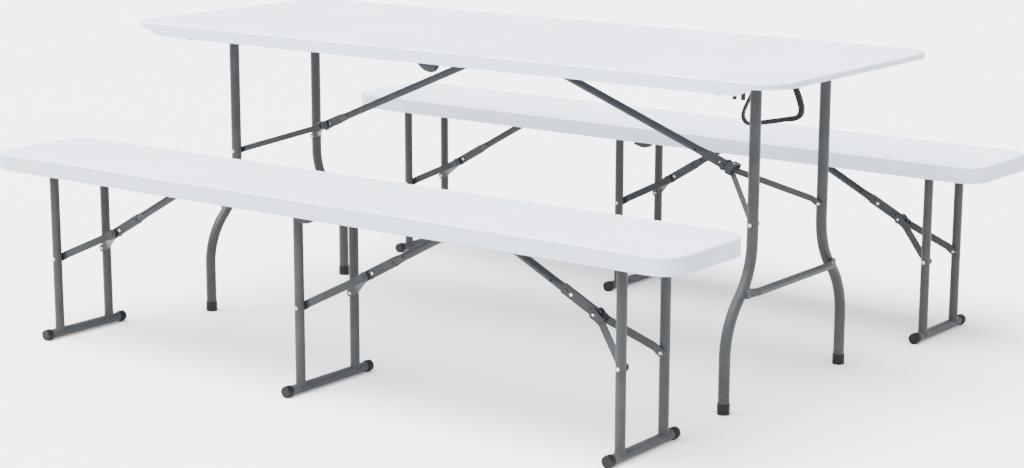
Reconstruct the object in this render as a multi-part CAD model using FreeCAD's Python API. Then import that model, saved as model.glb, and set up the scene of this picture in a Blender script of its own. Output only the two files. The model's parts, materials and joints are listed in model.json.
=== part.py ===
import FreeCAD, Part
import math
import os

from FreeCAD import Placement, Rotation, Vector

# Folding picnic table with two free-standing benches. Millimetres, +Z up, the floor at z = 0, the
# table's length along X. The origin is the middle of the whole footprint, on the floor.

# ------------------------------------------------ table top
table_length = 1830.0
table_width = 698.0
table_height = 729.0
table_corner = 65.0
panel_depth = 14.0
apron_depth = 30.0
apron_width = 22.0
apron_end = 817.0
apron_ramp = 37.0
seam_gap = 1.0
skin = 2.5
top_edge_radius = 5.0
low_edge_radius = 2.0

# ------------------------------------------------ bench seats
bench_length = 1920.0
bench_width = 290.0
bench_height = 444.5
bench_corner = 55.0
seat_depth = 20.0
skirt_depth = 39.0
skirt_width = 14.0

# ------------------------------------------------ where the benches stand, from the table's centre
front_bench_x = -43.0
front_bench_y = -584.0
rear_bench_x = 10.0
rear_bench_y = 658.5
rear_bench_turn = -1.3

# ------------------------------------------------ steelwork
tube_wall = 1.2
sheet = 1.5
brace_radius = 9.0
brace_flat = 4.0
brace_flat_height = 21.8
strip = 3.0
strip_gap = 10.5
pin_radius = 4.0
running = 0.05
side_gap = 0.3
# Pin, bolt and rivet heads: radius and height.
bolt_head = (4.4, 2.0)
bolt_tail = (4.0, 1.5)
elbow_head = (4.9, 1.8)
stud_head = (3.9, 1.6)
mount_head = (6.0, 1.8)
hinge_head = (7.0, 2.0)
# Screws into the plastic.
screw_radius = 2.0
screw_hole = 2.1
screw_head_radius = 4.5
screw_head_height = 2.2
screw_depth = 8.0
mount_screw_y = 48.0

rail_y = 304.0
rail_start = 16.0
rail_end = 780.0
rail_bottom = 691.0
rail_flange = 18.5
rail_step = 1.8
bench_rail_y = 111.5
bench_rail_bottom = 402.0
bench_rail_flange = 14.0
bench_rail_end = 885.0
spigot_radius = 5.0
plate_x = 9.0
plate_half = 28.0
plate_radius = 55.0
plate_bottom = 388.0

table_leg_x = 751.0

hinge_ear_radius = 14.0
ear_low = 673.0
# Each half's hinge ear: its reach from the seam and the radius of its round bottom.
hinge_ears = {"left": (36.0, 48.0), "right": (24.0, 26.0)}
handle_x = 517.0
handle_y = 338.0
buffer_places = (790.0, 810.0)
buffer_bottom = 685.0
buffer_radius = 4.8

panel_bottom = table_height - panel_depth
apron_bottom = table_height - apron_depth
seat_bottom = bench_height - seat_depth
skirt_bottom = bench_height - skirt_depth
neck_top = apron_bottom + 9.0


# ------------------------------------------------ basic shapes
def box(x0, x1, y0, y1, z0, z1):
    return Part.makeBox(x1 - x0, y1 - y0, z1 - z0, Vector(x0, y0, z0))


def rod(start, end, radius):
    line = end - start
    return Part.makeCylinder(radius, line.Length, start, line)


def rod_y(x, z, y0, y1, radius):
    return rod(Vector(x, y0, z), Vector(x, y1, z), radius)


def rod_z(x, y, z0, z1, radius):
    return rod(Vector(x, y, z0), Vector(x, y, z1), radius)


def tube(start, end, radius, wall=tube_wall):
    return rod(start, end, radius).cut(rod(start, end, radius - wall))


def rounded_slab(half_x, half_y, corner, z0, z1):
    slab = box(-half_x, half_x, -half_y, half_y, z0, z1)
    uprights = [edge for edge in slab.Edges if abs(edge.tangentAt(edge.FirstParameter).z) > 0.9]
    return slab.makeFillet(corner, uprights)


def level_edges(shape, z):
    return [edge for edge in shape.Edges if all(abs(vertex.Point.z - z) < 0.01 for vertex in edge.Vertexes)]


def domed_head(x, z, y_face, direction, radius, height):
    """A low rivet or bolt head on a face at y_face, standing out along +Y or -Y."""
    y0, y1 = sorted((y_face, y_face + direction * height))
    disc = rod_y(x, z, y0, y1, radius)
    y_top = y_face + direction * height
    rim = [edge for edge in disc.Edges if edge.Closed and abs(edge.Vertexes[0].Y - y_top) < 0.01]
    return disc.makeFillet(height * 0.6, rim)


def mirrored_y(shape):
    return shape.mirror(Vector(0, 0, 0), Vector(0, 1, 0))


def mirrored_x(shape):
    return shape.mirror(Vector(0, 0, 0), Vector(1, 0, 0))


def moved(shape, x=0.0, y=0.0, z=0.0):
    copy = shape.copy()
    copy.translate(Vector(x, y, z))
    return copy


def solids_of(shapes):
    return [solid for shape in shapes for solid in shape.Solids]


# ------------------------------------------------ placing and writing
class Unit:
    """The table or one bench: where its own frame stands in the whole set."""

    def __init__(self, x, y, turn=0.0):
        self.place = Placement(Vector(x, y, 0), Rotation(Vector(0, 0, 1), turn))

    def write(self, name, shapes):
        solids = [solid.copy() for solid in solids_of(shapes)]
        for solid in solids:
            solid.Placement = self.place.multiply(solid.Placement)
        shape = solids[0] if len(solids) == 1 else Part.makeCompound(solids)
        shape.exportStep("parts/" + name + ".step")
        volume = sum(solid.Volume for solid in solids)
        print(f"{name:34s} solids {len(solids):3d}  {volume / 1000.0:9.1f} cm3  valid {shape.isValid()}")


def footprint_middle():
    """The middle of the box around the table and both benches, measured from the table's centre."""
    turn = math.radians(abs(rear_bench_turn))
    half_x = bench_length / 2 - bench_corner
    half_y = bench_width / 2 - bench_corner
    rear_x = half_x * math.cos(turn) + half_y * math.sin(turn) + bench_corner
    rear_y = half_x * math.sin(turn) + half_y * math.cos(turn) + bench_corner
    low_x = min(-table_length / 2, front_bench_x - bench_length / 2, rear_bench_x - rear_x)
    high_x = max(table_length / 2, front_bench_x + bench_length / 2, rear_bench_x + rear_x)
    low_y = front_bench_y - bench_width / 2
    high_y = rear_bench_y + rear_y
    return (low_x + high_x) / 2, (low_y + high_y) / 2


# ------------------------------------------------ folding leg frames
class LegFrame:
    """Two legs on a pivot tube, with the jointed brace that locks them upright.

    It is drawn as the right-hand one: the pivot is at x = 0 and the legs fold towards -X. The brace's
    bar turns on the mount under the top and its yoke turns on the bar's end (the elbow), reaching the
    two legs at the bolts. The bar and the yoke lie in one line when the legs are folded away, which
    fixes their lengths.
    """

    def __init__(self, pivot_z, leg_y, leg_radius, bolt_z, mount_back, mount_z, bar_slope, fold):
        self.pivot_z = pivot_z
        self.leg_y = leg_y
        self.leg_radius = leg_radius
        self.bolt_z = bolt_z
        self.mount = Vector(-mount_back, 0, mount_z)
        self.bar_slope = bar_slope
        pivot = Vector(0, 0, pivot_z)
        bolt = Vector(0, 0, bolt_z)
        folded_bolt = pivot + Rotation(Vector(0, 1, 0), fold).multVec(bolt - pivot)
        reach = folded_bolt.distanceToPoint(self.mount)
        along = Vector(math.cos(math.radians(bar_slope)), 0, -math.sin(math.radians(bar_slope)))
        offset = bolt - self.mount
        self.bar_length = (offset.dot(offset) - reach * reach) / (2 * (offset.dot(along) - reach))
        self.elbow = self.mount + along * self.bar_length
        arm = bolt - self.elbow
        self.arm_length = arm.Length
        self.arm_slope = math.degrees(math.atan2(-arm.z, arm.x))
        self.arm_y = leg_y - leg_radius - strip / 2 - 1.5


def on_slope(shape, point, slope):
    """Turn a shape drawn along +X so that it runs down the slope, and put its origin on a point."""
    turned = shape.copy()
    turned.rotate(Vector(0, 0, 0), Vector(0, 1, 0), slope)
    turned.translate(point)
    return turned


def pressed_profile(x, half_high, half_thick, y=0.0):
    """Outline of a tube across the X axis: a circle, or an ellipse where the tube is pressed."""
    if half_high > half_thick:
        curve = Part.Ellipse(Vector(0, 0, 0), half_high, half_thick)
    else:
        curve = Part.Circle(Vector(0, 0, 0), Vector(0, 0, 1), half_high)
    outline = Part.Wire([curve.toShape()])
    outline.Placement = Placement(Vector(x, y, 0), Rotation(Vector(0, 1, 0), -90))
    return outline


def pressed_taper(x_round, x_flat, radius, half_thick, half_high, y_flat=0.0):
    """The stretch of a tube that is pressed from round to flat."""
    round_end = pressed_profile(x_round, radius, radius)
    flat_end = pressed_profile(x_flat, half_high, half_thick, y_flat)
    return Part.makeLoft([round_end, flat_end], True, True)


def flat_tab(x_inner, x_end, half_thick, half_high):
    """The flat end itself, rounded about the last hole."""
    low, high = sorted((x_inner, x_end))
    tab = box(low, high, -half_thick, half_thick, -half_high, half_high)
    corners = [edge for edge in tab.Edges
               if abs(edge.tangentAt(edge.FirstParameter).y) > 0.9 and abs(edge.Vertexes[0].X - x_end) < 0.01]
    return tab.makeFillet(half_high - 0.4, corners)


def brace_bar(frame, flat_length):
    """Bar of a brace, along +X from its mount: a tube with a flat end at the mount and at the elbow."""
    far = frame.bar_length
    mount_flat = 16.0
    taper = 26.0
    end_beyond = brace_flat_height / 2 - 1.0
    flat_start = far - flat_length
    round_start = mount_flat + taper
    round_end = flat_start - taper
    pieces = [
        flat_tab(mount_flat + 1.0, -8.0, brace_flat, brace_radius),
        pressed_taper(round_start, mount_flat, brace_radius, brace_flat, brace_radius),
        rod(Vector(round_start, 0, 0), Vector(round_end, 0, 0), brace_radius),
        pressed_taper(round_end, flat_start, brace_radius, brace_flat, brace_flat_height / 2),
        flat_tab(flat_start - 1.0, far + end_beyond, brace_flat, brace_flat_height / 2),
    ]
    bar = pieces[0].multiFuse(pieces[1:])
    bore = rod(Vector(round_start, 0, 0), Vector(round_end, 0, 0), brace_radius - tube_wall)
    drain = rod_y(round_end - 4.0, 0, -brace_radius - 1, brace_radius + 1, 2.2)
    mount_hole = rod_y(0, 0, -20, 20, pin_radius + running)
    elbow_hole = rod_y(far, 0, -20, 20, pin_radius)
    bar = bar.cut(bore).cut(drain).cut(mount_hole).cut(elbow_hole)
    return on_slope(bar, frame.mount, frame.bar_slope)


def elbow_pin(frame):
    """The elbow's pivot pin: a shank through the bar and the yoke with two domed heads."""
    outer = strip_gap + strip + side_gap
    pin = rod_y(frame.bar_length, 0, -outer, outer, pin_radius)
    heads = [domed_head(frame.bar_length, 0, side * outer, side, *elbow_head) for side in (-1, 1)]
    return on_slope(pin.multiFuse(heads), frame.mount, frame.bar_slope)


def brace_studs(frame, places):
    """Domed stud heads on both faces of the bar's flat end, at distances back from the elbow."""
    studs = [domed_head(frame.bar_length - place, 0, side * brace_flat, side, *stud_head)
             for place in places for side in (-1, 1)]
    return [on_slope(stud, frame.mount, frame.bar_slope) for stud in studs]


def thick_path(points, half, height):
    """A strip of sheet bent along a plan path, standing on edge and centred on z = 0, with rounded bends."""
    def offset(side):
        result = []
        for index, point in enumerate(points):
            before = points[index] - points[index - 1] if index > 0 else points[1] - points[0]
            after = points[index + 1] - point if index < len(points) - 1 else before
            before.normalize()
            after.normalize()
            bisector = Vector(-before.y - after.y, before.x + after.x, 0)
            bisector.normalize()
            stretch = 1.0 / bisector.dot(Vector(-before.y, before.x, 0))
            result.append(point + bisector * (side * half * stretch))
        return result

    outline = offset(1) + offset(-1)[::-1]
    outline = [Vector(point.x, point.y, -height / 2) for point in outline]
    sheet_face = Part.Face(Part.makePolygon(outline + outline[:1]))
    plate = sheet_face.extrude(Vector(0, 0, height))
    bends = [edge for edge in plate.Edges
             if abs(edge.tangentAt(edge.FirstParameter).z) > 0.9
             and points[0].x + 1 < edge.Vertexes[0].X < points[-1].x - 1]
    return plate.makeFillet(3.0, bends)


def yoke(frame, arm_height, straight):
    """The two arms of a brace: flat strips side by side at the elbow that spread to the two legs."""
    spread = frame.arm_length - 20.0
    near_y = strip_gap + strip / 2
    tip = frame.arm_length + arm_height / 2 - 0.2
    path = [Vector(0, near_y, 0), Vector(straight, near_y, 0), Vector(spread, frame.arm_y, 0),
            Vector(tip, frame.arm_y, 0)]
    arm = thick_path(path, strip / 2, arm_height)
    tip_corners = [edge for edge in arm.Edges
                   if abs(edge.tangentAt(edge.FirstParameter).y) > 0.9
                   and all(vertex.X > tip - 0.1 for vertex in edge.Vertexes)]
    arm = arm.makeFillet(arm_height / 2 - 0.4, tip_corners)
    cheek = rod_y(0, 0, strip_gap, strip_gap + strip, brace_flat_height / 2)
    pivot_hole = rod_y(0, 0, 0, 2 * near_y, pin_radius + running)
    rivet_hole = rod_y(frame.arm_length, 0, 0, frame.arm_y + 10, pin_radius - 0.5)
    arm = arm.fuse(cheek).removeSplitter().cut(pivot_hole).cut(rivet_hole)
    inner = frame.arm_y - strip / 2
    rivet = rod_y(frame.arm_length, 0, inner, frame.arm_y + strip / 2, pin_radius - 0.5)
    rivet = rivet.fuse(domed_head(frame.arm_length, 0, inner, -1, *bolt_head))
    one_side = [on_slope(piece, frame.elbow, frame.arm_slope) for piece in (arm, rivet)]
    return one_side + [mirrored_y(piece) for piece in one_side]


def lock_ring(frame):
    """The catch that slides along the bar over the elbow: a top plate and two cheeks, open underneath."""
    near, far = 11.0, 27.0
    inner_y, inner_top, wall = 16.3, brace_flat_height / 2 + 0.2, sheet
    top = box(near, far, -inner_y - wall, inner_y + wall, inner_top, inner_top + wall)
    cheeks = [box(near, far, -inner_y - wall, -inner_y, -11.0, inner_top + wall),
              box(near, far, inner_y, inner_y + wall, -11.0, inner_top + wall)]
    ring = top.multiFuse(cheeks).removeSplitter()
    shoulders = [edge for edge in level_edges(ring, inner_top + wall) if abs(edge.Vertexes[0].Y) > inner_y
                 and abs(edge.tangentAt(edge.FirstParameter).x) > 0.9]
    ring = ring.makeFillet(1.2, shoulders)
    return [on_slope(moved(ring, x=frame.bar_length), frame.mount, frame.bar_slope)]


def pivot_tube(frame, radius, web_inner):
    """Cross tube between the two rails, with a plug in each end whose spigot turns in the rail's hole."""
    half = web_inner - 0.6
    pivot = frame.pivot_z
    pieces = [tube(Vector(0, -half, pivot), Vector(0, half, pivot), radius)]
    web_outer = web_inner + sheet
    plug = rod_y(0, pivot, half - 15.0, half, radius - tube_wall)
    spigot = rod_y(0, pivot, half, web_outer + side_gap, spigot_radius)
    cap = rod_y(0, pivot, web_outer + side_gap, web_outer + side_gap + 1.5, spigot_radius + 1.5)
    end = plug.multiFuse([spigot, cap])
    return pieces + [end, mirrored_y(end)]


def leg_bolts(frame):
    """One bolt through each leg at the brace: a domed head at -Y, riveted over at the other end."""
    z = frame.bolt_z
    reach = frame.leg_radius
    bolts = []
    for leg_y in (-frame.leg_y, frame.leg_y):
        inner = 1.1 if leg_y < 0 else -1.1
        shank = rod_y(0, z, leg_y - reach + min(inner, 0), leg_y + reach + max(inner, 0), pin_radius - 0.5)
        if leg_y < 0:
            ends = [domed_head(0, z, leg_y - reach, -1, *bolt_head)]
        else:
            ends = [domed_head(0, z, leg_y + reach, 1, *bolt_tail)]
        bolts.append(shank.multiFuse(ends))
    return bolts


def spacers(frame):
    """Plastic washers between each leg and the yoke's arm."""
    inner = frame.leg_y - frame.leg_radius
    washer = rod_y(0, frame.bolt_z, inner - 1.1, inner + 0.6, 7.0)
    leg = rod_z(0, frame.leg_y, frame.bolt_z - 20, frame.bolt_z + 20, frame.leg_radius)
    shank_hole = rod_y(0, frame.bolt_z, 0, frame.leg_y, pin_radius - 0.5)
    washer = washer.cut(leg).cut(shank_hole)
    return [washer, mirrored_y(washer)]


# ------------------------------------------------ table leg frame
def table_leg_frame(bar_slope):
    return LegFrame(pivot_z=700.0, leg_y=151.0, leg_radius=12.5, bolt_z=394.5,
                    mount_back=730.5, mount_z=696.0, bar_slope=bar_slope, fold=90.0)


# The two braces have come to rest at slightly different angles; everything else is the same.
table_frames = {"left": table_leg_frame(23.0), "right": table_leg_frame(20.4)}
table_frame = table_frames["right"]
table_foot_y = 254.0
table_bend_top = 360.0
table_bend_bottom = 120.0
table_cap_radius = 14.0
table_cap_height = 24.0
table_bar_z = 252.0
table_bar_radius = 9.0
table_bar_end = 10.5
table_pivot_radius = 11.0
table_bar_flat = 50.0
table_stud_places = (12.5,)
table_arm_height = 14.5
table_arm_straight = 28.0


def leg_path(top_z, bottom_z):
    """Centre line of a table leg: straight, an S-bend outwards of two equal arcs, and straight."""
    near, far = table_frame.leg_y, table_foot_y
    spread = far - near
    height = table_bend_top - table_bend_bottom
    radius = (height * height + spread * spread) / (4 * spread)
    turn = math.asin(height / 2 / radius)

    def upper(angle):
        y = near + radius - radius * math.cos(angle)
        return Vector(0, y, table_bend_top - radius * math.sin(angle))

    def lower(angle):
        y = far - radius + radius * math.cos(angle)
        return Vector(0, y, table_bend_bottom + radius * math.sin(angle))

    return Part.Wire([
        Part.LineSegment(Vector(0, near, top_z), upper(0)).toShape(),
        Part.Arc(upper(0), upper(turn / 2), upper(turn)).toShape(),
        Part.Arc(lower(turn), lower(turn / 2), lower(0)).toShape(),
        Part.LineSegment(lower(0), Vector(0, far, bottom_z)).toShape(),
    ])


def swept(path, radius, start, direction):
    ring = Part.Wire([Part.makeCircle(radius, start, direction)])
    return path.makePipeShell([ring], True, True)


def leg_y_at(z):
    """How far out the S-bend's centre line is at a height."""
    spread = table_foot_y - table_frame.leg_y
    height = table_bend_top - table_bend_bottom
    radius = (height * height + spread * spread) / (4 * spread)
    drop = table_bend_top - z
    if drop < height / 2:
        return table_frame.leg_y + radius - math.sqrt(radius * radius - drop * drop)
    rise = z - table_bend_bottom
    return table_foot_y - radius + math.sqrt(radius * radius - rise * rise)


def cross_bar():
    """H-bar of a table leg frame: a round tube whose flat ends lie on the legs' outer face."""
    half = leg_y_at(table_bar_z) + 3.0
    flat = 14.0
    taper = 22.0
    thick = 2.4
    face = table_frame.leg_radius - 0.1
    centre = face + table_bar_radius
    offset = face + thick - centre
    straight = half - flat - taper
    middle = rod(Vector(-straight, 0, 0), Vector(straight, 0, 0), table_bar_radius)
    end = pressed_taper(straight, half - flat, table_bar_radius, thick, table_bar_end, offset)
    tab = box(half - flat - 1.0, half, -thick, thick, -table_bar_end, table_bar_end)
    corners = [edge for edge in tab.Edges
               if abs(edge.tangentAt(edge.FirstParameter).y) > 0.9 and abs(edge.Vertexes[0].X - half) < 0.01]
    tab = moved(tab.makeFillet(3.0, corners), y=offset)
    bar = middle.multiFuse([end, tab, mirrored_x(end), mirrored_x(tab)])
    bore = rod(Vector(-straight, 0, 0), Vector(straight, 0, 0), table_bar_radius - tube_wall)
    drain = rod_z(0, 0, -table_bar_radius - 1, 0, 2.0)
    bar = bar.cut(bore).cut(drain)
    bar.rotate(Vector(0, 0, 0), Vector(0, 0, 1), -90)
    bar.translate(Vector(centre, 0, table_bar_z))
    return bar


def table_leg_tubes(web_inner):
    pivot = table_frame.pivot_z
    bottom = 4.0
    outer = swept(leg_path(pivot, bottom), table_frame.leg_radius,
                  Vector(0, table_frame.leg_y, pivot), Vector(0, 0, 1))
    inner = swept(leg_path(pivot + 1, bottom - 1), table_frame.leg_radius - tube_wall,
                  Vector(0, table_frame.leg_y, pivot + 1), Vector(0, 0, 1))
    cross = rod_y(0, pivot, 0, web_inner, table_pivot_radius)
    bolt_hole = rod_y(0, table_frame.bolt_z, 0, table_frame.leg_y + 30, pin_radius - 0.5)
    leg = outer.cut(inner).cut(cross).cut(bolt_hole)
    pieces = [leg, mirrored_y(leg), cross_bar()]
    return pieces + pivot_tube(table_frame, table_pivot_radius, web_inner)


def table_leg_plastics():
    cap = rod_z(0, table_foot_y, 0, table_cap_height, table_cap_radius)
    foot_rim = [edge for edge in level_edges(cap, 0) if edge.Closed]
    cap = cap.makeFillet(2.0, foot_rim)
    cap = cap.cut(rod_z(0, table_foot_y, 4.0, table_cap_height + 1, table_frame.leg_radius))
    return [cap, mirrored_y(cap)] + spacers(table_frame)


# ------------------------------------------------ bench leg frame
bench_foot_radius = 11.0
bench_cap_radius = 13.0
bench_cap_length = 16.0
bench_rib_width = 3.0
bench_rib_places = (0.8, 5.2, 9.6)
bench_pivot_radius = 10.0
bench_bar_flat = 92.0
bench_stud_places = (19.0, 84.0)
bench_arm_height = 18.0
bench_arm_straight = 22.0
bench_fold = 86.5


def bench_frame(leg_y, bolt_z=193.4, mount_back=384.0, bar_slope=29.7):
    return LegFrame(pivot_z=409.0, leg_y=leg_y, leg_radius=11.0, bolt_z=bolt_z,
                    mount_back=mount_back, mount_z=408.0, bar_slope=bar_slope, fold=bench_fold)


left_frame = bench_frame(79.0)
right_frame = bench_frame(79.0, bar_slope=26.7)
middle_frame = bench_frame(91.0, bar_slope=28.4)
short_middle_frame = bench_frame(91.0, bolt_z=230.0, mount_back=290.0, bar_slope=31.5)
bench_foot_half = {"left": 126.0, "middle": 142.0, "right": 126.0}
bench_layouts = {
    "front_bench": {
        "left": (-813.0, left_frame),
        "middle": (-28.0, middle_frame),
        "right": (804.0, right_frame),
    },
    "rear_bench": {
        "left": (-813.0, left_frame),
        "middle": (-80.0, short_middle_frame),
        "right": (804.0, right_frame),
    },
}


def bench_leg_tubes(frame, foot_half):
    """Two straight legs standing on a foot bar, and the pivot tube across their tops."""
    foot_z = bench_cap_radius
    leg = tube(Vector(0, frame.leg_y, foot_z), Vector(0, frame.leg_y, frame.pivot_z), frame.leg_radius)
    cross = rod_y(0, frame.pivot_z, 0, bench_rail_y, bench_pivot_radius)
    foot = rod_y(0, foot_z, 0, foot_half, bench_foot_radius)
    bolt_hole = rod_y(0, frame.bolt_z, 0, frame.leg_y + 30, pin_radius - 0.5)
    leg = leg.cut(cross).cut(foot).cut(bolt_hole)
    leg = max(leg.Solids, key=lambda solid: solid.Volume)
    bar_end = foot_half - 4.0
    foot_bar = tube(Vector(0, -bar_end, foot_z), Vector(0, bar_end, foot_z), bench_foot_radius)
    return [leg, mirrored_y(leg), foot_bar] + pivot_tube(frame, bench_pivot_radius, bench_rail_y)


def bench_leg_plastics(frame, foot_half):
    """Ribbed caps on the foot bar's ends, the only part on the floor, and the washers at the brace."""
    foot_z = bench_cap_radius
    inner = foot_half - bench_cap_length
    cap = rod_y(0, foot_z, inner, foot_half, bench_cap_radius - 0.6)
    ribs = [rod_y(0, foot_z, inner + place, inner + place + bench_rib_width, bench_cap_radius)
            for place in bench_rib_places]
    cap = cap.multiFuse(ribs).removeSplitter()
    cap = cap.cut(rod_y(0, foot_z, inner - 1, foot_half - 4.0, bench_foot_radius))
    return [cap, mirrored_y(cap)] + spacers(frame)


# ------------------------------------------------ table top halves
def table_half():
    """Right-hand half of the top: a hollow moulded panel with an apron along its two long sides."""
    half_x, half_y = table_length / 2, table_width / 2
    panel = rounded_slab(half_x, half_y, table_corner, panel_bottom, table_height)
    apron_top = panel_bottom + 1.0
    apron_inner = half_y - apron_width
    ramp_top = apron_end + apron_ramp
    corners = [(0, apron_bottom), (apron_end, apron_bottom), (ramp_top, panel_bottom), (ramp_top, apron_top),
               (0, apron_top)]
    profile = [Vector(x, apron_inner, z) for x, z in corners]
    apron = Part.Face(Part.makePolygon(profile + profile[:1])).extrude(Vector(0, apron_width, 0))
    whole = panel.makeFillet(top_edge_radius, level_edges(panel, table_height))
    whole = whole.multiFuse([apron, mirrored_y(apron)])
    whole = whole.common(box(seam_gap / 2, half_x, -half_y, half_y, 0, table_height)).removeSplitter()
    inner = rounded_slab(half_x - skin, half_y - skin, table_corner - skin,
                         panel_bottom + skin, table_height - skin)
    channel = box(0, apron_end - 8.0, apron_inner + skin, half_y - skin,
                  apron_bottom + skin, panel_bottom + skin + 1.0)
    inner = inner.multiFuse([channel, mirrored_y(channel)])
    inner = inner.common(box(seam_gap / 2 + skin, half_x, -half_y, half_y, 0, table_height))
    vent = rod_z(half_x - 40.0, 0, panel_bottom - 1, panel_bottom + skin + 1, 3.0)
    holes = [rod_z(x, side * y, panel_bottom - 1, panel_bottom + skin + 1, screw_hole)
             for x, y in table_screw_places() for side in (-1, 1)]
    return whole.cut(inner).cut(vent.multiFuse(holes))


def table_screw_places():
    """Screws into the top's underside: along each rail's flange, and at the brace mount's corners."""
    along_rail = [(x, rail_y + rail_flange * 0.6) for x in (95.0, 320.0, 545.0, 700.0)]
    return along_rail + [(table_leg_x + table_frame.mount.x, mount_screw_y)]


def table_screws():
    return [screw for x, y in table_screw_places() for screw in screw_pair(x, y, panel_bottom)]


def screw_pair(x, y, ceiling):
    head_bottom = ceiling - sheet - screw_head_height
    shank = rod_z(x, y, ceiling - sheet, ceiling + screw_depth, screw_radius)
    head = rod_z(x, y, head_bottom, ceiling - sheet, screw_head_radius)
    head = head.makeFillet(1.2, [edge for edge in level_edges(head, head_bottom) if edge.Closed])
    screw = head.fuse(shank)
    return [screw, mirrored_y(screw)]


def clevis(x, z, ceiling):
    """Brace mount under the top: a plate, two ears and the pin that the bar turns on."""
    plate = box(x - 13.0, x + 13.0, -58.0, 58.0, ceiling - sheet, ceiling)
    for side in (-1, 1):
        plate = plate.cut(rod_z(x, side * mount_screw_y, ceiling - 10, ceiling + 1, screw_hole))
    ear_inner, ear_outer = 5.0, 7.0
    ears = []
    for side in (-1, 1):
        y0, y1 = sorted((side * ear_inner, side * ear_outer))
        ear = box(x - 9.0, x + 9.0, y0, y1, z, ceiling - sheet).fuse(rod_y(x, z, y0, y1, 9.0))
        ears.append(ear.removeSplitter())
    bracket = plate.multiFuse(ears).cut(rod_y(x, z, -ear_outer - 1, ear_outer + 1, pin_radius))
    pin = rod_y(x, z, -ear_outer, ear_outer, pin_radius)
    pin = pin.multiFuse([domed_head(x, z, side * ear_outer, side, *mount_head) for side in (-1, 1)])
    return [bracket, pin]


def angle_rail(x0, x1, web_inner, bottom, ceiling, flange):
    """Steel angle under one long side: an upright web, and a flange outwards under the top."""
    web = box(x0, x1, web_inner, web_inner + sheet, bottom, ceiling)
    ledge = box(x0, x1, web_inner, web_inner + flange, ceiling - sheet, ceiling)
    return web.fuse(ledge).removeSplitter()


def hinge_ear(web_inner, reach, radius):
    """Round-bottomed hinge plate of the right-hand half, with a little of it past the seam."""
    outer = web_inner + sheet
    own_side = rod_y(0, ear_low + radius, web_inner, outer, radius)
    own_side = own_side.common(box(0, reach, web_inner, outer, ear_low, neck_top))
    past_seam = rod_y(0, apron_bottom, web_inner, outer, apron_bottom - ear_low)
    past_seam = past_seam.common(box(-hinge_ear_radius, 0, web_inner, outer, ear_low, apron_bottom))
    eye = rod_y(0, apron_bottom, web_inner, outer, hinge_ear_radius)
    return own_side.multiFuse([past_seam, eye]).removeSplitter()


def table_rail(web_inner, ear_shape):
    """One rail of the right-hand half, with its hinge ear at the seam and the hole for the leg's spigot."""
    rail = angle_rail(rail_start, rail_end, web_inner, rail_bottom, panel_bottom, rail_flange)
    ear = hinge_ear(web_inner, *ear_shape)
    neck = box(0, 20.0, web_inner, web_inner + sheet, rail_bottom, neck_top)
    rail = rail.multiFuse([ear, neck]).removeSplitter()
    spigot_hole = rod_y(table_leg_x, table_frame.pivot_z, web_inner - 1, web_inner + sheet + 1,
                        spigot_radius + running)
    for x, y in table_screw_places()[:-1]:
        rail = rail.cut(rod_z(x, y, panel_bottom - 5, panel_bottom + 1, screw_hole))
    return rail.cut(spigot_hole)


def hinge_pin_hole(web_inner, clearance):
    return rod_y(0, apron_bottom, web_inner - 1, web_inner + sheet + 1, pin_radius + clearance)


def hinge_pins():
    """Pins at the seam: tight in the left rails' ears and running in the right rails' ears."""
    inner = rail_y - rail_step - side_gap
    outer = rail_y + sheet
    pin = rod_y(0, apron_bottom, inner, outer, pin_radius)
    heads = [domed_head(0, apron_bottom, inner, -1, *hinge_head),
             domed_head(0, apron_bottom, outer, 1, *hinge_head)]
    pin = pin.multiFuse(heads)
    return [pin, mirrored_y(pin)]


# ------------------------------------------------ carry handle
handle_pivot_z = apron_bottom - 9.0
handle_top_half = 30.0
handle_width = 9.0
handle_eye_radius = 7.0
handle_pin_radius = 3.0
handle_play = 0.32
# The strap's centre line from the right eye round to the left: x, z and half the strap's thickness.
handle_line = [
    (30.0, -4.0, 4.6), (41.0, -42.0, 5.8), (55.6, -78.0, 6.2), (69.5, -112.0, 6.4),
    (70.5, -133.0, 6.2), (58.0, -146.0, 5.4), (38.0, -150.5, 5.0), (14.6, -155.5, 5.0),
    (-8.5, -160.5, 5.0), (-31.5, -165.0, 4.8), (-55.0, -169.5, 4.0), (-75.0, -169.0, 3.4),
    (-84.0, -157.0, 3.2), (-79.5, -134.0, 3.1), (-68.4, -111.0, 3.1), (-58.0, -88.0, 3.1),
    (-43.0, -45.0, 3.2), (-30.0, -4.0, 3.4),
]


def strap_edge(side):
    """One long edge of the strap: the centre line set off by half its thickness, as a smooth curve."""
    last = len(handle_line) - 1
    points = []
    for index, (x, z, half) in enumerate(handle_line):
        before, after = handle_line[max(index - 1, 0)], handle_line[min(index + 1, last)]
        along = Vector(after[0] - before[0], 0, after[1] - before[1])
        along.normalize()
        points.append(Vector(x - side * half * along.z, 0, z + side * half * along.x))
    curve = Part.BSplineCurve()
    curve.interpolate(points)
    return curve.toShape(), points[0], points[-1]


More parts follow.
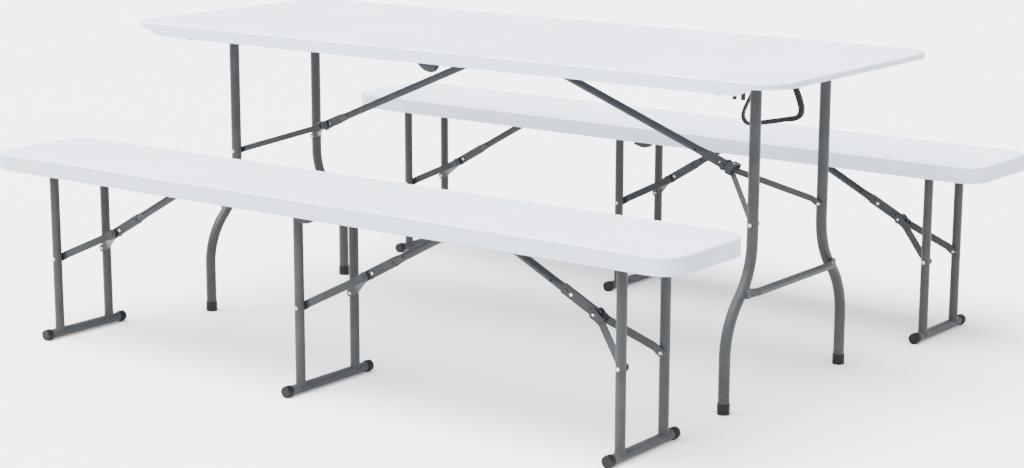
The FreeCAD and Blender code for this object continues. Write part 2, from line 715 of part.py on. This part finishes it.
def carry_handle():
    """Moulded strap that hangs as a loop with one low corner, ending in two pivot eyes."""
    outer, outer_start, outer_end = strap_edge(1)
    inner, inner_start, inner_end = strap_edge(-1)
    outline = Part.Wire(Part.__sortEdges__([outer, inner, Part.makeLine(outer_start, inner_start),
                                            Part.makeLine(outer_end, inner_end)]))
    strap = Part.Face(outline).extrude(Vector(0, handle_width, 0))
    strap.translate(Vector(0, -handle_width / 2, 0))
    handle = strap
    for x in (-handle_top_half, handle_top_half):
        eye = rod(Vector(x - 7.9, 0, 0), Vector(x + 7.9, 0, 0), handle_eye_radius)
        handle = handle.fuse(eye)
    for x in (-handle_top_half, handle_top_half):
        bore = rod(Vector(x - 9.0, 0, 0), Vector(x + 9.0, 0, 0), handle_pin_radius + handle_play)
        handle = handle.cut(bore)
    return [moved(handle, handle_x, handle_y, handle_pivot_z)]


def handle_clips():
    """Two clips under the apron, each with a pin through the handle's eye, and the leg's buffers."""
    pieces = []
    for sign in (-1, 1):
        x = handle_x + sign * handle_top_half
        low, high = handle_pivot_z - 9.0, handle_pivot_z + 7.6
        block = box(x - 13.0, x + 13.0, handle_y - 8.0, handle_y + 8.0, handle_pivot_z - 6.0, apron_bottom)
        slot = box(x - 8.3, x + 8.3, handle_y - 9.0, handle_y + 9.0, low, high)
        pin = rod(Vector(x - 12.0, handle_y, handle_pivot_z), Vector(x + 12.0, handle_y, handle_pivot_z),
                  handle_pin_radius)
        pieces.append(block.cut(slot).fuse(pin))
    for x in buffer_places:
        peg = rod_z(x, rail_y, buffer_bottom, panel_bottom, buffer_radius)
        pieces += [peg, mirrored_y(peg)]
    return pieces


# ------------------------------------------------ bench top
def bench_screw_places(layout):
    screw_y = bench_rail_y + bench_rail_flange * 0.6
    along_rail = [(x, screw_y) for x in (-865.0, -560.0, -190.0, 190.0, 560.0, 865.0)]
    mounts = [(bench_mount_x(layout, key), mount_screw_y) for key in layout]
    return along_rail + mounts


def folds_right(key):
    """The right-hand frame folds towards -X; the left-hand and middle ones fold towards +X."""
    return key != "right"


def bench_mount_x(layout, key):
    leg_x, frame = layout[key]
    return leg_x - frame.mount.x if folds_right(key) else leg_x + frame.mount.x


def bench_seat(layout):
    """Hollow moulded plank with a skirt all round."""
    half_x, half_y = bench_length / 2, bench_width / 2
    seat = rounded_slab(half_x, half_y, bench_corner, skirt_bottom, bench_height)
    seat = seat.makeFillet(4.0, level_edges(seat, bench_height))
    seat = seat.makeFillet(low_edge_radius, level_edges(seat, skirt_bottom))
    pocket_x, pocket_y = half_x - skirt_width, half_y - skirt_width
    pocket = rounded_slab(pocket_x, pocket_y, bench_corner - skirt_width, skirt_bottom - 1, seat_bottom)
    seat = seat.cut(pocket)
    inner = rounded_slab(half_x - skin, half_y - skin, bench_corner - skin,
                         skirt_bottom + skin, bench_height - skin)
    core = rounded_slab(pocket_x + skin, pocket_y + skin, bench_corner - skirt_width + skin,
                        skirt_bottom, seat_bottom + skin)
    inner = inner.cut(core)
    vent = rod_z(half_x - 60.0, 0, seat_bottom - 1, seat_bottom + skin + 1, 3.0)
    holes = [rod_z(x, side * y, seat_bottom - 1, seat_bottom + skin + 1, screw_hole)
             for x, y in bench_screw_places(layout) for side in (-1, 1)]
    return seat.cut(inner).cut(vent.multiFuse(holes))


def bench_rails(layout):
    """Two steel angles with a round-bottomed joining plate at mid-length, and the three brace mounts."""
    rail = angle_rail(-bench_rail_end, bench_rail_end, bench_rail_y, bench_rail_bottom, seat_bottom,
                      bench_rail_flange)
    for x, frame in layout.values():
        spigot_hole = rod_y(x, frame.pivot_z, bench_rail_y - 1, bench_rail_y + 4, spigot_radius + running)
        rail = rail.cut(spigot_hole)
    for x, y in bench_screw_places(layout):
        rail = rail.cut(rod_z(x, y, seat_bottom - 5, seat_bottom + 1, screw_hole))
    plate_y = bench_rail_y + sheet
    plate = rod_y(plate_x, plate_bottom + plate_radius, plate_y, plate_y + 2.0, plate_radius)
    plate = plate.common(box(plate_x - plate_half, plate_x + plate_half, plate_y, plate_y + 2.0,
                             plate_bottom, seat_bottom - sheet - 1.0))
    pieces = [rail, mirrored_y(rail), plate, mirrored_y(plate)]
    for key, (x, frame) in layout.items():
        pieces += clevis(bench_mount_x(layout, key), frame.mount.z, seat_bottom)
    return pieces


def bench_screws(layout):
    return [screw for x, y in bench_screw_places(layout) for screw in screw_pair(x, y, seat_bottom)]


# ------------------------------------------------ assembly
def write_leg_frame(unit, prefix, x, mirror, groups):
    """Write one leg frame's nodes, drawn right-handed at x = 0, mirrored if need be and put in place."""
    for suffix, pieces in groups.items():
        placed = [mirrored_x(piece) for piece in pieces] if mirror else pieces
        unit.write(prefix + suffix, [moved(piece, x) for piece in placed])


def make_table(unit):
    half = table_half()
    unit.write("table_top_right", [half])
    unit.write("table_top_left", [mirrored_x(half)])
    for side, braced in table_frames.items():
        mirror = side == "left"
        web_inner = rail_y if mirror else rail_y - rail_step
        clearance = 0.0 if mirror else running
        rail = table_rail(web_inner, hinge_ears[side]).cut(hinge_pin_hole(web_inner, clearance))
        mount_x = table_leg_x + braced.mount.x
        pieces = [rail, mirrored_y(rail)] + clevis(mount_x, braced.mount.z, panel_bottom)
        screws = table_screws()
        if mirror:
            pieces = [mirrored_x(piece) for piece in pieces]
            screws = [mirrored_x(piece) for piece in screws]
        unit.write(f"table_rails_{side}", pieces)
        unit.write(f"table_screws_{side}", screws)
        write_leg_frame(unit, f"table_{side}_", -table_leg_x if mirror else table_leg_x, mirror, {
            "leg_frame": table_leg_tubes(web_inner),
            "leg_plastics": table_leg_plastics(),
            "leg_bolts": leg_bolts(table_frame),
            "brace_bar": [brace_bar(braced, table_bar_flat), elbow_pin(braced)],
            "brace_studs": brace_studs(braced, table_stud_places),
            "yoke": yoke(braced, table_arm_height, table_arm_straight),
            "lock_ring": lock_ring(braced),
        })
    unit.write("table_hinge_pins", hinge_pins())
    unit.write("table_carry_handle", carry_handle())
    unit.write("table_handle_clips", handle_clips())


def make_bench(unit, name):
    layout = bench_layouts[name]
    unit.write(f"{name}_seat", [bench_seat(layout)])
    unit.write(f"{name}_rails", bench_rails(layout))
    unit.write(f"{name}_screws", bench_screws(layout))
    for key, (x, frame) in layout.items():
        bar = [brace_bar(frame, bench_bar_flat), elbow_pin(frame)]
        write_leg_frame(unit, f"{name}_{key}_", x, folds_right(key), {
            "leg_frame": bench_leg_tubes(frame, bench_foot_half[key]),
            "leg_plastics": bench_leg_plastics(frame, bench_foot_half[key]),
            "leg_bolts": leg_bolts(frame),
            "brace_bar": bar + brace_studs(frame, bench_stud_places),
            "yoke": yoke(frame, bench_arm_height, bench_arm_straight),
        })


os.makedirs("parts", exist_ok=True)
middle_x, middle_y = footprint_middle()
make_table(Unit(-middle_x, -middle_y))
make_bench(Unit(front_bench_x - middle_x, front_bench_y - middle_y), "front_bench")
make_bench(Unit(rear_bench_x - middle_x, rear_bench_y - middle_y, rear_bench_turn), "rear_bench")
print("origin from the table's centre:", round(middle_x, 3), round(middle_y, 3))
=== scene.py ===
import json
import math

import bpy
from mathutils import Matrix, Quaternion, Vector


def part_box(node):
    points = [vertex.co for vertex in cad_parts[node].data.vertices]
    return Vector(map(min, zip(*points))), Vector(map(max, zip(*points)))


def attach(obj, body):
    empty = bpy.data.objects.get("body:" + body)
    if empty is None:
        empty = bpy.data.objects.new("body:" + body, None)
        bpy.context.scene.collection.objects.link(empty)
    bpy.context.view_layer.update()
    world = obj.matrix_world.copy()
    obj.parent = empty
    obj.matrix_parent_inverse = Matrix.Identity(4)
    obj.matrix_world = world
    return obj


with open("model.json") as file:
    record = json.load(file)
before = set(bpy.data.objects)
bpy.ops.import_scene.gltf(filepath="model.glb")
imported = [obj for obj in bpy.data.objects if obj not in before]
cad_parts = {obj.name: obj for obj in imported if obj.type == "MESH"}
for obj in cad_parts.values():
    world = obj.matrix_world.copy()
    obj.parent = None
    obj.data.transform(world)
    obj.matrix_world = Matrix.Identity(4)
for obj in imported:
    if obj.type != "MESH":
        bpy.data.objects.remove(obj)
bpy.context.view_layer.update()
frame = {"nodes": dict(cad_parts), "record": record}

# ---------------------------------------------------------------- places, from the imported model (metres)
MM = 0.001
BENCHES = ("front_bench", "rear_bench")
JOINTS = {joint["name"]: joint for joint in frame["record"]["behaviour"]["joints"]}


def node_box(node):
    low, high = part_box(node)
    return Vector(low), Vector(high)


def table_centre():
    low, _ = node_box("table_top_left")
    _, high = node_box("table_top_right")
    return (low + high) / 2


TABLE_MIDDLE = table_centre()


class LegPlace:
    """Where one leg frame stands: its pivot, its brace's mount and elbow, and its own directions."""

    def __init__(self, prefix):
        self.prefix = prefix
        self.pivot = Vector(JOINTS[prefix + "leg_fold"]["pos_m"])
        self.mount = Vector(JOINTS[prefix + "brace_turn"]["pos_m"])
        self.elbow = Vector(JOINTS[prefix + "elbow"]["pos_m"])
        axis = Vector(JOINTS[prefix + "leg_fold"]["axis"])
        self.across = axis if axis.y > 0 else -axis
        self.out = self.across.cross(Vector((0, 0, 1)))
        if axis.y < 0:
            self.out = -self.out
        low, high = node_box(prefix + "leg_bolts")
        self.bolt_z = (low.z + high.z) / 2
        self.along = (self.elbow - self.mount).normalized()
        self.above = self.along.cross(self.across)
        if self.above.z < 0:
            self.above = -self.above

    def at(self, out, across, z):
        """A point by its distances outwards from the pivot and across the frame, and its height."""
        below_pivot = Vector((self.pivot.x, self.pivot.y, 0))
        return below_pivot + self.out * out + self.across * across + Vector((0, 0, z))

    def on_brace(self, past_elbow, across, above=0.0):
        """A point by its distances past the elbow along the bar, across the frame, and above the bar."""
        return self.elbow + self.along * past_elbow + self.across * across + self.above * above


# ---------------------------------------------------------------- node materials
MOTTLE_LOW, MOTTLE_HIGH = 0.35, 0.65
# Faint level lines round the edges of the table top and of the seats.
GROOVE_HEIGHTS = (705.5 * MM, 721.5 * MM, 411.5 * MM, 434.5 * MM)
GROOVE_WIDTH = 1.6 * MM


class Finish:
    """A node material whose colour, gloss and relief come from textures in object coordinates."""

    def __init__(self, name, metallic=0.0, specular=0.5):
        self.material = bpy.data.materials.new(name)
        self.material.use_nodes = True
        self.nodes = self.material.node_tree.nodes
        self.links = self.material.node_tree.links
        self.shader = self.nodes["Principled BSDF"]
        self.shader.inputs["Metallic"].default_value = metallic
        self.shader.inputs["Specular IOR Level"].default_value = specular
        self.place = self.nodes.new("ShaderNodeTexCoord").outputs["Object"]
        self.normal = None

    def noise(self, scale, detail=3.0):
        """Soft noise with `scale` lumps to the metre."""
        texture = self.nodes.new("ShaderNodeTexNoise")
        texture.inputs["Scale"].default_value = scale
        texture.inputs["Detail"].default_value = detail
        self.links.new(self.place, texture.inputs["Vector"])
        return texture.outputs["Fac"]

    def cells(self, scale):
        """Rounded pebbles, `scale` of them to the metre."""
        texture = self.nodes.new("ShaderNodeTexVoronoi")
        texture.inputs["Scale"].default_value = scale
        self.links.new(self.place, texture.inputs["Vector"])
        return texture.outputs["Distance"]

    def maths(self, operation, first, second=None):
        """One step of arithmetic on a socket, with a number or another socket."""
        node = self.nodes.new("ShaderNodeMath")
        node.operation = operation
        self.links.new(first, node.inputs[0])
        if isinstance(second, float):
            node.inputs[1].default_value = second
        elif second is not None:
            self.links.new(second, node.inputs[1])
        return node.outputs["Value"]

    def grooves(self, heights, width):
        """Relief of shallow level lines: 1 on the face, 0 in a line."""
        split = self.nodes.new("ShaderNodeSeparateXYZ")
        self.links.new(self.place, split.inputs["Vector"])
        relief = None
        for height in heights:
            away = self.maths("ABSOLUTE", self.maths("SUBTRACT", split.outputs["Z"], height))
            line = self.nodes.new("ShaderNodeMapRange")
            line.inputs["From Max"].default_value = width
            self.links.new(away, line.inputs["Value"])
            line = line.outputs["Result"]
            relief = line if relief is None else self.maths("MINIMUM", relief, line)
        return relief

    def colour(self, texture, dark, light):
        """Mottle the colour between two tones."""
        ramp = self.nodes.new("ShaderNodeValToRGB")
        low, high = ramp.color_ramp.elements
        low.position, high.position = MOTTLE_LOW, MOTTLE_HIGH
        low.color, high.color = (*dark, 1.0), (*light, 1.0)
        self.links.new(texture, ramp.inputs["Fac"])
        self.links.new(ramp.outputs["Color"], self.shader.inputs["Base Color"])

    def roughness(self, texture, low, high):
        spread = self.nodes.new("ShaderNodeMapRange")
        spread.inputs["To Min"].default_value = low
        spread.inputs["To Max"].default_value = high
        self.links.new(texture, spread.inputs["Value"])
        self.links.new(spread.outputs["Result"], self.shader.inputs["Roughness"])

    def relief(self, height, strength, depth):
        """A layer of bump on top of those already there."""
        layer = self.nodes.new("ShaderNodeBump")
        layer.inputs["Strength"].default_value = strength
        layer.inputs["Distance"].default_value = depth
        self.links.new(height, layer.inputs["Height"])
        if self.normal is not None:
            self.links.new(self.normal, layer.inputs["Normal"])
        self.normal = layer.outputs["Normal"]
        self.links.new(self.normal, self.shader.inputs["Normal"])


def moulded_white():
    """Blow-moulded polyethylene, slightly bluish: a pebbled grain over faint hollows and lines."""
    finish = Finish("moulded_white", specular=0.35)
    finish.colour(finish.noise(5.0, detail=2.0), dark=(0.60, 0.675, 0.81), light=(0.64, 0.71, 0.835))
    finish.roughness(finish.noise(60.0), low=0.38, high=0.50)
    finish.relief(finish.noise(14.0, detail=1.0), strength=0.25, depth=1.2 * MM)
    finish.relief(finish.grooves(GROOVE_HEIGHTS, GROOVE_WIDTH), strength=0.5, depth=0.8 * MM)
    finish.relief(finish.cells(520.0), strength=0.16, depth=0.3 * MM)
    return finish.material


def coated_steel():
    """Dark grey powder coat: an even colour with orange-peel relief and slightly duller patches."""
    finish = Finish("coated_steel", specular=0.20)
    finish.colour(finish.noise(18.0), dark=(0.033, 0.036, 0.039), light=(0.042, 0.046, 0.049))
    finish.roughness(finish.noise(90.0), low=0.40, high=0.55)
    finish.relief(finish.noise(900.0, detail=1.0), strength=0.12, depth=0.2 * MM)
    return finish.material


def black_plastic():
    """Soft black moulded plastic with a fine matt grain."""
    finish = Finish("black_plastic", specular=0.22)
    finish.colour(finish.noise(40.0, detail=2.0),
                  dark=(0.0035, 0.0035, 0.004), light=(0.006, 0.006, 0.0065))
    finish.roughness(finish.noise(150.0), low=0.42, high=0.60)
    finish.relief(finish.noise(1400.0, detail=1.0), strength=0.15, depth=0.2 * MM)
    return finish.material


def zinc():
    """Bright zinc plating, a little uneven."""
    finish = Finish("zinc", metallic=1.0)
    finish.colour(finish.noise(220.0), dark=(0.40, 0.40, 0.39), light=(0.56, 0.56, 0.55))
    finish.roughness(finish.noise(500.0), low=0.20, high=0.38)
    return finish.material


MATERIALS = {
    "white_hdpe": moulded_white(),
    "grey_steel": coated_steel(),
    "black_plastic": black_plastic(),
    "zinc_steel": zinc(),
}


def dress_cad_nodes():
    """Give each CAD node the material of its slot in the record."""
    slots = {entry["node"]: entry["material_slot"] for entry in frame["record"]["subparts"]}
    for node, obj in frame["nodes"].items():
        material = MATERIALS[slots[node]]
        if not obj.data.materials:
            obj.data.materials.append(material)
        for index in range(len(obj.data.materials)):
            obj.data.materials[index] = material


dress_cad_nodes()


# ---------------------------------------------------------------- mesh helpers
ALONG, ACROSS, UP = Vector((1, 0, 0)), Vector((0, 1, 0)), Vector((0, 0, 1))
# A rivet head's rings: share of the radius, and share of the height.
DOME_PROFILE = ((1.0, 0.0), (1.0, 0.30), (0.93, 0.56), (0.76, 0.80),
                (0.52, 0.95), (0.30, 1.0), (0.10, 0.96))
DOME_SIDES = 24
BEAD_SIDES = 8
BEAD_RIPPLE = 0.16
BEAD_PITCH = 1.9
BLOCK_CORNERS = ((1, 0.5), (0.5, 1), (-0.5, 1), (-1, 0.5), (-1, -0.5), (-0.5, -1), (0.5, -1), (1, -0.5))


def full_turn(count):
    return [2 * math.pi * index / count for index in range(count)]


def circle(centre, side, other, radius, count):
    """Points round a centre in the plane of two directions."""
    return [centre + (side * math.cos(turn) + other * math.sin(turn)) * radius
            for turn in full_turn(count)]


class Shape:
    """Vertices and faces collected for one piece."""

    def __init__(self):
        self.points = []
        self.faces = []

    def rings(self, rings, closed=False):
        """Skin a row of rings of equal count; open rows are capped."""
        start, count = len(self.points), len(rings[0])
        for ring in rings:
            self.points += ring
        steps = len(rings) if closed else len(rings) - 1
        for step in range(steps):
            near = start + step * count
            far = start + (step + 1) % len(rings) * count
            for index in range(count):
                following = (index + 1) % count
                self.faces.append((near + index, near + following, far + following, far + index))
        if not closed:
            self.faces.append(tuple(range(start, start + count))[::-1])
            last = start + (len(rings) - 1) * count
            self.faces.append(tuple(range(last, last + count)))

    def dome(self, foot, outward, radius, height):
        """A pressed rivet head: a short cylindrical rim and a crowned top with a slight dimple."""
        side = outward.orthogonal().normalized()
        other = outward.cross(side)
        self.rings([circle(foot + outward * (rise * height), side, other, reach * radius, DOME_SIDES)
                    for reach, rise in DOME_PROFILE])

    def bead(self, path, radius, closed):
        """A weld bead along a path, with the ripple of its separate drops."""
        rings = []
        for index, point in enumerate(path):
            before = path[index - 1] if index or closed else point
            after = path[(index + 1) % len(path)] if index < len(path) - 1 or closed else point
            ahead = (after - before).normalized()
            side = ahead.orthogonal().normalized()
            other = ahead.cross(side)
            ripple = radius * (1.0 + BEAD_RIPPLE * math.sin(index * BEAD_PITCH))
            rings.append(circle(point, side, other, ripple, BEAD_SIDES))
        self.rings(rings, closed)

    def block(self, centre, axes, halves, bevel):
        """A block with its long edges and ends eased, along axes[0]."""
        rings = []
        eased = 1.0 - bevel / halves[0]
        for along, inset in ((-1.0, bevel), (-eased, 0.0), (eased, 0.0), (1.0, bevel)):
            ring = []
            for u, v in BLOCK_CORNERS:
                wide = halves[1] - inset - (bevel if abs(u) < 1 else 0.0)
                high = halves[2] - inset - (bevel if abs(v) < 1 else 0.0)
                ring.append(centre + axes[0] * (along * halves[0]) + axes[1] * math.copysign(wide, u)
                            + axes[2] * math.copysign(high, v))
            rings.append(ring)
        self.rings(rings)

    def piece(self, name, body, material_slot):
        mesh = bpy.data.meshes.new(name)
        mesh.from_pydata([tuple(point) for point in self.points], [], self.faces)
        mesh.validate()
        for polygon in mesh.polygons:
            polygon.use_smooth = True
        obj = bpy.data.objects.new(name, mesh)
        bpy.context.collection.objects.link(obj)
        mesh.materials.append(MATERIALS[material_slot])
        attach(obj, body)
        return obj


# ---------------------------------------------------------------- rivets, studs and the elbows' bushes
# Faces that heads stand on, as distances from the frame's middle: arm ends, arm cheeks, flat bar.
TABLE_ARM_FACE = 134.0 * MM
BENCH_ARM_FACE = {"left": 63.5 * MM, "middle": 75.5 * MM, "right": 63.5 * MM}
CHEEK_FACE = 13.6 * MM
BAR_FACE = 4.0 * MM
RIVET_RADIUS, RIVET_HEIGHT = 4.7 * MM, 2.3 * MM
PIN_HEAD_RADIUS, PIN_HEAD_HEIGHT = 5.1 * MM, 2.2 * MM
STUD_RADIUS, STUD_HEIGHT = 4.3 * MM, 2.0 * MM
STUD_BACK = {"left": 19.0 * MM, "middle": 19.0 * MM, "right": 69.0 * MM}
# Stop in the elbow and tab on the lock ring: distance past the elbow, half sizes and bevel.
BUSH_PAST = 16.0 * MM
BUSH_HALVES = (5.5 * MM, 9.6 * MM, 9.4 * MM)
BUSH_BEVEL = 1.6 * MM
RING_PAST, RING_TOP = 19.0 * MM, 12.35 * MM
CATCH_HALVES = (5.5 * MM, 1.5 * MM, 0.5 * MM)
CATCH_BEVEL = 0.2 * MM


def arm_rivets(place, inner_face):
    """Zinc heads on the inner faces of the yoke's two arm ends, where they are riveted to the legs."""
    shape = Shape()
    for side in (-1, 1):
        foot = place.at(0, side * inner_face, place.bolt_z)
        shape.dome(foot, place.across * -side, RIVET_RADIUS, RIVET_HEIGHT)
    shape.piece(place.prefix + "arm_rivets", place.prefix + "yoke", "zinc_steel")


def elbow_heads(place, pin_shows, stud_back):
    """Zinc heads on both faces of a bench brace: over the elbow's pin, and on a stud through the bar."""
    shape = Shape()
    for side in (-1, 1):
        outward = place.across * side
        if pin_shows:
            shape.dome(place.on_brace(0, side * CHEEK_FACE), outward, PIN_HEAD_RADIUS, PIN_HEAD_HEIGHT)
        shape.dome(place.on_brace(-stud_back, side * BAR_FACE), outward, STUD_RADIUS, STUD_HEIGHT)
    shape.piece(place.prefix + "elbow_heads", place.prefix + "brace", "zinc_steel")


def elbow_bush(place):
    """Black moulded stop between the yoke's arms, just past the end of the bar."""
    shape = Shape()
    centre = place.on_brace(BUSH_PAST, 0)
    shape.block(centre, (place.along, place.across, place.above), BUSH_HALVES, BUSH_BEVEL)
    shape.piece(place.prefix + "elbow_bush", place.prefix + "brace", "black_plastic")


def ring_catch(place):
    """Bright spring tab on top of the table brace's lock ring."""
    shape = Shape()
    centre = place.on_brace(RING_PAST, 0, RING_TOP)
    shape.block(centre, (place.across, place.along, place.above), CATCH_HALVES, CATCH_BEVEL)
    shape.piece(place.prefix + "ring_catch", place.prefix + "lock", "zinc_steel")


# ---------------------------------------------------------------- weld beads
BEAD = 1.5 * MM
SADDLE_STEPS = 40
# Bench leg frame: height of the foot bar, radii of its tubes, and how far out its legs stand.
BENCH_FOOT_Z = 13.0 * MM
BENCH_LEG, BENCH_FOOT, BENCH_PIVOT = 11.0 * MM, 11.0 * MM, 10.0 * MM
BENCH_LEG_Y = {"left": 79.0 * MM, "middle": 91.0 * MM, "right": 79.0 * MM}
# Table leg frame: radii of its tubes, the legs' S-bend, and the cross bar's flat ends.
TABLE_LEG, TABLE_PIVOT = 12.5 * MM, 11.0 * MM
TABLE_LEG_Y, TABLE_FOOT = 151.0 * MM, 254.0 * MM
BEND_TOP, BEND_BOTTOM = 360.0 * MM, 120.0 * MM
BAR_Z = 252.0 * MM
TAB_HALF, TAB_BACK, TAB_PAST = 10.6 * MM, 9.0 * MM, 3.2 * MM
TAB_STEPS = 8


def saddle_path(centre, along, across, post_radius, bar_radius, up):
    """A closed path round an upright post, where it meets a round bar that lies along `across`."""
    path = []
    for turn in full_turn(SADDLE_STEPS):
        x, y = post_radius * math.cos(turn), post_radius * math.sin(turn)
        rise = math.sqrt(max(bar_radius * bar_radius - x * x, 0.0))
        path.append(centre + along * x + across * y + UP * (up * rise))
    return path


def bench_welds(place, leg_y):
    """Beads where the legs stand on the foot bar and where they meet the pivot tube."""
    shape = Shape()
    for side in (-1, 1):
        foot = place.at(0, side * leg_y, BENCH_FOOT_Z)
        shape.bead(saddle_path(foot, place.out, place.across, BENCH_LEG, BENCH_FOOT, 1), BEAD, True)
        top = place.at(0, side * leg_y, place.pivot.z)
        shape.bead(saddle_path(top, place.out, place.across, BENCH_LEG, BENCH_PIVOT, -1), BEAD, True)
    shape.piece(place.prefix + "welds", place.prefix + "leg", "grey_steel")


def table_leg_y(z):
    """How far out the table leg's S-bend is at a height."""
    spread, height = TABLE_FOOT - TABLE_LEG_Y, BEND_TOP - BEND_BOTTOM
    radius = (height * height + spread * spread) / (4 * spread)
    drop = BEND_TOP - z
    if drop < height / 2:
        return TABLE_LEG_Y + radius - math.sqrt(radius * radius - drop * drop)
    rise = z - BEND_BOTTOM
    return TABLE_FOOT - radius + math.sqrt(radius * radius - rise * rise)


def table_welds(place):
    """Beads round the cross bar's flat ends on the legs, and where the legs meet the pivot tube."""
    shape = Shape()
    middle = table_leg_y(BAR_Z)
    for side in (-1, 1):
        corners = [(middle - TAB_BACK, BAR_Z + TAB_HALF), (middle + TAB_PAST, BAR_Z + TAB_HALF),
                   (middle + TAB_PAST, BAR_Z - TAB_HALF), (middle - TAB_BACK, BAR_Z - TAB_HALF)]
        path = []
        for (y0, z0), (y1, z1) in zip(corners, corners[1:]):
            for step in range(TAB_STEPS):
                share = step / TAB_STEPS
                y, z = y0 + (y1 - y0) * share, z0 + (z1 - z0) * share
                aside = y - table_leg_y(z)
                out = math.sqrt(max(TABLE_LEG * TABLE_LEG - aside * aside, (TABLE_LEG / 2) ** 2))
                path.append(place.at(out, side * y, z))
        shape.bead(path, BEAD, False)
        top = place.at(0, side * TABLE_LEG_Y, place.pivot.z)
        shape.bead(saddle_path(top, place.out, place.across, TABLE_LEG, TABLE_PIVOT, -1), BEAD, True)
    shape.piece(place.prefix + "welds", place.prefix + "leg", "grey_steel")


# ---------------------------------------------------------------- carry handle
# The first and last rib, across and below the handle's pivot; then a rib's profile along its length.
RIB_LINE = ((-44.0 * MM, -163.4 * MM), (52.0 * MM, -142.4 * MM))
RIB_COUNT = 13
RIB_RADIUS, RIB_HALF = 2.1 * MM, 4.4 * MM
RIB_PROFILE = ((-1.0, 0.6), (-0.88, 1.0), (0.88, 1.0), (1.0, 0.6))
RIB_SIDES = 12


def handle_ribs():
    """Finger ribs across the inner side of the strap's lowest run."""
    shape = Shape()
    pivot = Vector(JOINTS["handle_swing"]["pos_m"])
    (x0, z0), (x1, z1) = RIB_LINE
    for index in range(RIB_COUNT):
        share = index / (RIB_COUNT - 1)
        centre = pivot + Vector((x0 + (x1 - x0) * share, 0, z0 + (z1 - z0) * share))
        rings = []
        for along, reach in RIB_PROFILE:
            middle = centre + ACROSS * (along * RIB_HALF)
            rings.append(circle(middle, ALONG, UP, RIB_RADIUS * reach, RIB_SIDES))
        shape.rings(rings)
    shape.piece("carry_handle_ribs", "carry_handle", "black_plastic")


def add_details():
    """Every Blender piece of every leg frame, and the grip's ribs."""
    for side in ("left", "right"):
        place = LegPlace(f"table_{side}_")
        arm_rivets(place, TABLE_ARM_FACE)
        ring_catch(place)
        table_welds(place)
    for bench in BENCHES:
        for key in ("left", "middle", "right"):
            place = LegPlace(f"{bench}_{key}_")
            arm_rivets(place, BENCH_ARM_FACE[key])
            elbow_heads(place, key == "right", STUD_BACK[key])
            elbow_bush(place)
            bench_welds(place, BENCH_LEG_Y[key])
    handle_ribs()


add_details()


# ---------------------------------------------------------------- camera, floor and light
CAMERA_FROM_TABLE = Vector((3.0622, -4.1212, 1.3465))
CAMERA_YAW = math.radians(36.593)
CAMERA_PITCH = math.radians(-12.043)
CAMERA_ROLL = math.radians(0.162)
FOCAL_PER_WIDTH = 2196.6 / 1024
SENSOR_WIDTH = 36.0
FLOOR_HALF = 14.0
FLOOR_DARK, FLOOR_LIGHT = (0.925, 0.925, 0.925), (0.935, 0.935, 0.935)
FLOOR_ROUGHNESS = 0.85
WORLD_STRENGTH = 1.8
# Each sun: the way it shines, the angle it spreads over in degrees, and its strength.
SUNS = {
    "key": ((0.25, 0.35, -1.0), 60.0, 13.5),
    "fill": ((-0.6, 1.0, -0.45), 60.0, 1.2),
}


def make_camera():
    """The camera, placed from the middle of the table."""
    data = bpy.data.cameras.new("camera")
    data.sensor_width = SENSOR_WIDTH
    data.lens = FOCAL_PER_WIDTH * SENSOR_WIDTH
    camera = bpy.data.objects.new("camera", data)
    bpy.context.collection.objects.link(camera)
    forward = Vector((-math.sin(CAMERA_YAW) * math.cos(CAMERA_PITCH),
                      math.cos(CAMERA_YAW) * math.cos(CAMERA_PITCH), math.sin(CAMERA_PITCH)))
    turn = forward.to_track_quat("-Z", "Y") @ Quaternion((0, 0, 1), CAMERA_ROLL)
    camera.rotation_mode = "QUATERNION"
    camera.rotation_quaternion = turn
    camera.location = Vector((TABLE_MIDDLE.x, TABLE_MIDDLE.y, 0)) + CAMERA_FROM_TABLE
    bpy.context.scene.camera = camera


def make_floor():
    """A plain pale floor that catches shadows but throws no light back up under the seats."""
    half = FLOOR_HALF
    mesh = bpy.data.meshes.new("floor")
    corners = [(-half, -half, 0), (half, -half, 0), (half, half, 0), (-half, half, 0)]
    mesh.from_pydata(corners, [], [(0, 1, 2, 3)])
    floor = bpy.data.objects.new("floor", mesh)
    bpy.context.collection.objects.link(floor)
    finish = Finish("floor")
    finish.colour(finish.noise(0.8), FLOOR_DARK, FLOOR_LIGHT)
    finish.shader.inputs["Roughness"].default_value = FLOOR_ROUGHNESS
    mesh.materials.append(finish.material)
    floor.visible_diffuse = False


def soft_sun(name, towards, spread, strength):
    data = bpy.data.lights.new(name, "SUN")
    data.angle = math.radians(spread)
    data.energy = strength
    light = bpy.data.objects.new(name, data)
    bpy.context.collection.objects.link(light)
    light.rotation_mode = "QUATERNION"
    light.rotation_quaternion = Vector(towards).to_track_quat("-Z", "Y")


def make_world():
    world = bpy.data.worlds.new("studio")
    world.use_nodes = True
    background = world.node_tree.nodes["Background"]
    background.inputs["Color"].default_value = (1.0, 1.0, 1.0, 1.0)
    background.inputs["Strength"].default_value = WORLD_STRENGTH
    bpy.context.scene.world = world


make_camera()
make_floor()
make_world()
for sun, (towards, spread, strength) in SUNS.items():
    soft_sun(sun, towards, spread, strength)
